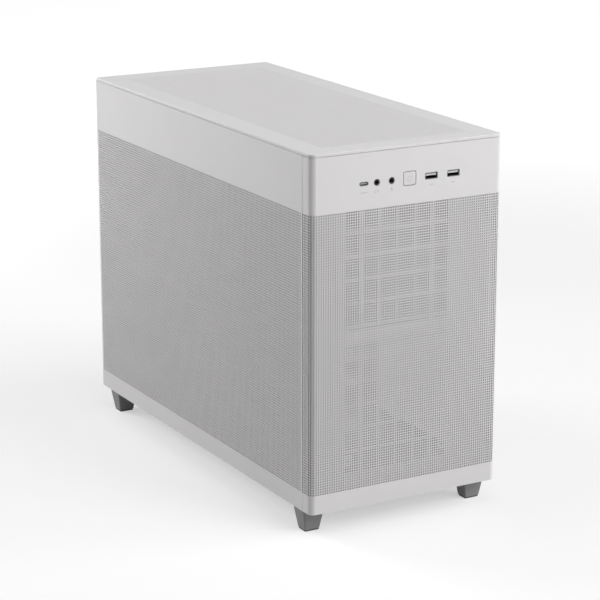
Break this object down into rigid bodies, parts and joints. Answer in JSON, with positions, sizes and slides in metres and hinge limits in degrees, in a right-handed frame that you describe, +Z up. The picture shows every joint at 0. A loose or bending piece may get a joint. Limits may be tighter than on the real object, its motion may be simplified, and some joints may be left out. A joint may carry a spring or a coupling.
{
  "type": "desktop computer tower",
  "caption": "Compact desktop computer tower with perforated steel covers, front sockets and power button, standing on tapered feet, with board, cooler, fans and power supply inside.",
  "frame": {"origin": "centre of the footprint, on the plane the feet stand on", "axes": "-Y is the front with the controls, -X is the access side seen to the left of the front, +Z is up"},
  "size_m": [0.205, 0.46, 0.364],
  "materials": {
    "panel_steel": "satin white powder coat",
    "chassis_steel": "satin white powder coat",
    "plated_steel": "zinc plated",
    "dark_steel": "matt black powder coat",
    "white_plastic": "moulded",
    "button_plastic": "satin moulded",
    "black_plastic": "moulded",
    "fan_plastic": "moulded, slightly glossy",
    "foot_plastic": "fine moulded grain",
    "foot_rubber": "matt",
    "lead_rubber": "matt",
    "port_metal": "nickel plated",
    "tongue_plastic": "moulded",
    "circuit_board": "solder resist",
    "heatsink_metal": "bare",
    "module_metal": "anodised dark grey",
    "brass": "bare"
  },
  "bodies": {
    "chassis": {"bottom_pan": "chassis_steel", "rear_panel": "chassis_steel", "top_frame": "chassis_steel", "front_frame": "chassis_steel", "motherboard_tray": "chassis_steel", "chassis_rivets": "plated_steel", "stud_sockets": "white_plastic", "foot_front_left": "foot_plastic", "foot_front_right": "foot_plastic", "foot_rear_left": "foot_plastic", "foot_rear_right": "foot_plastic", "foot_pads": "foot_rubber", "front_io_bracket": "chassis_steel", "front_io_board": "circuit_board", "power_button_guide": "black_plastic", "power_switch": "black_plastic", "power_button_spring": "plated_steel", "usb_ports": "port_metal", "audio_jacks": "black_plastic", "usb_tongues": "tongue_plastic", "motherboard": "circuit_board", "standoffs": "brass", "case_screws": "plated_steel", "rear_ports": "port_metal", "io_shield": "plated_steel", "cpu": "plated_steel", "cooler_heatsink": "heatsink_metal", "cooler_mount": "plated_steel", "cooler_fan_frame": "black_plastic", "board_slots": "black_plastic", "memory_modules": "module_metal", "slot_covers": "chassis_steel", "rear_fan_frame": "black_plastic", "psu_case": "dark_steel", "psu_board": "circuit_board", "psu_fan_frame": "black_plastic", "psu_bracket": "chassis_steel", "psu_inlet": "black_plastic", "rear_inlet": "black_plastic", "psu_switch_body": "black_plastic", "mains_plug": "lead_rubber", "mains_lead": "lead_rubber", "board_lead": "lead_rubber", "board_power_plug": "black_plastic", "storage_drive": "dark_steel"},
    "left_panel": {"left_side_panel": "panel_steel", "left_panel_catches": "white_plastic"},
    "right_panel": {"right_side_panel": "panel_steel", "right_panel_catches": "white_plastic"},
    "top_lid": {"top_cover": "panel_steel", "top_cover_studs": "white_plastic"},
    "front_cover": {"front_panel": "panel_steel", "front_panel_studs": "white_plastic"},
    "button": {"power_button": "button_plastic"},
    "rear_rotor": {"rear_fan_rotor": "fan_plastic"},
    "cooler_rotor": {"cooler_fan_rotor": "fan_plastic"},
    "supply_rotor": {"psu_fan_rotor": "fan_plastic"},
    "rocker": {"psu_rocker": "black_plastic"},
    "latch_1": {"memory_latch_1": "white_plastic"},
    "latch_2": {"memory_latch_2": "white_plastic"}
  },
  "joints": [
    {"name": "power_button_press", "type": "slide", "parent": "chassis", "child": "button", "axis": [0, 1, 0], "range_m": [0, 0.001], "stiffness_N_per_m": 500, "springref_m": -0.001, "deforming": ["power_button_spring"]},
    {"name": "left_panel_pull", "type": "slide", "parent": "chassis", "child": "left_panel", "axis": [-1, 0, 0], "range_m": [0, 0.15]},
    {"name": "right_panel_pull", "type": "slide", "parent": "chassis", "child": "right_panel", "axis": [1, 0, 0], "range_m": [0, 0.15]},
    {"name": "front_panel_pull", "type": "slide", "parent": "chassis", "child": "front_cover", "axis": [0, -1, 0], "range_m": [0, 0.08]},
    {"name": "top_cover_lift", "type": "slide", "parent": "chassis", "child": "top_lid", "axis": [0, 0, 1], "range_m": [0, 0.08]},
    {"name": "rear_fan_spin", "type": "hinge", "parent": "chassis", "child": "rear_rotor", "pos_m": [-0.034, 0.2137, 0.25], "axis": [0, 1, 0], "continuous": true},
    {"name": "cooler_fan_spin", "type": "hinge", "parent": "chassis", "child": "cooler_rotor", "pos_m": [-0.022, 0.1037, 0.237], "axis": [0, 1, 0], "continuous": true},
    {"name": "supply_fan_spin", "type": "hinge", "parent": "chassis", "child": "supply_rotor", "pos_m": [0, -0.193, 0.245], "axis": [0, 1, 0], "continuous": true},
    {"name": "supply_switch_tip", "type": "hinge", "parent": "chassis", "child": "rocker", "pos_m": [-0.01, -0.162, 0.1796], "axis": [0, 1, 0], "range_deg": [-14, 0]},
    {"name": "memory_latch_1_open", "type": "hinge", "parent": "chassis", "child": "latch_1", "pos_m": [0.0694, 0.054, 0.3165], "axis": [0, 1, 0], "range_deg": [0, 35]},
    {"name": "memory_latch_2_open", "type": "hinge", "parent": "chassis", "child": "latch_2", "pos_m": [0.0694, 0.042, 0.3165], "axis": [0, 1, 0], "range_deg": [0, 35]}
  ]
}
